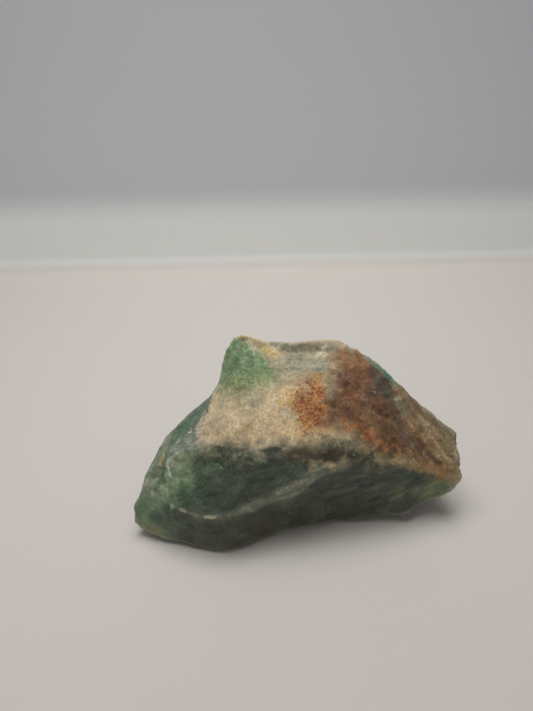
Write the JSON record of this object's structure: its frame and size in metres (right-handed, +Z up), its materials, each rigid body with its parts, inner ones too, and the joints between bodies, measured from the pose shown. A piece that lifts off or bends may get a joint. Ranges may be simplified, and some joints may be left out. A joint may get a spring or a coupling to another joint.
{
  "type": "raw green aventurine",
  "caption": "Rough, broken chunk of green aventurine lying on its broadest break, with a knob at the top left, a long front ridge and a pointed right end.",
  "frame": {"origin": "middle of the stone's footprint, on the surface that it rests on", "axes": "+X along the stone towards its pointed right end, +Y away from its front, +Z up"},
  "size_m": [0.064, 0.0434, 0.036],
  "materials": {
    "aventurine": "rough fracture, dark green with a sandy and rust-brown stained upper face"
  },
  "bodies": {
    "root": {"stone": "aventurine"}
  },
  "joints": []
}
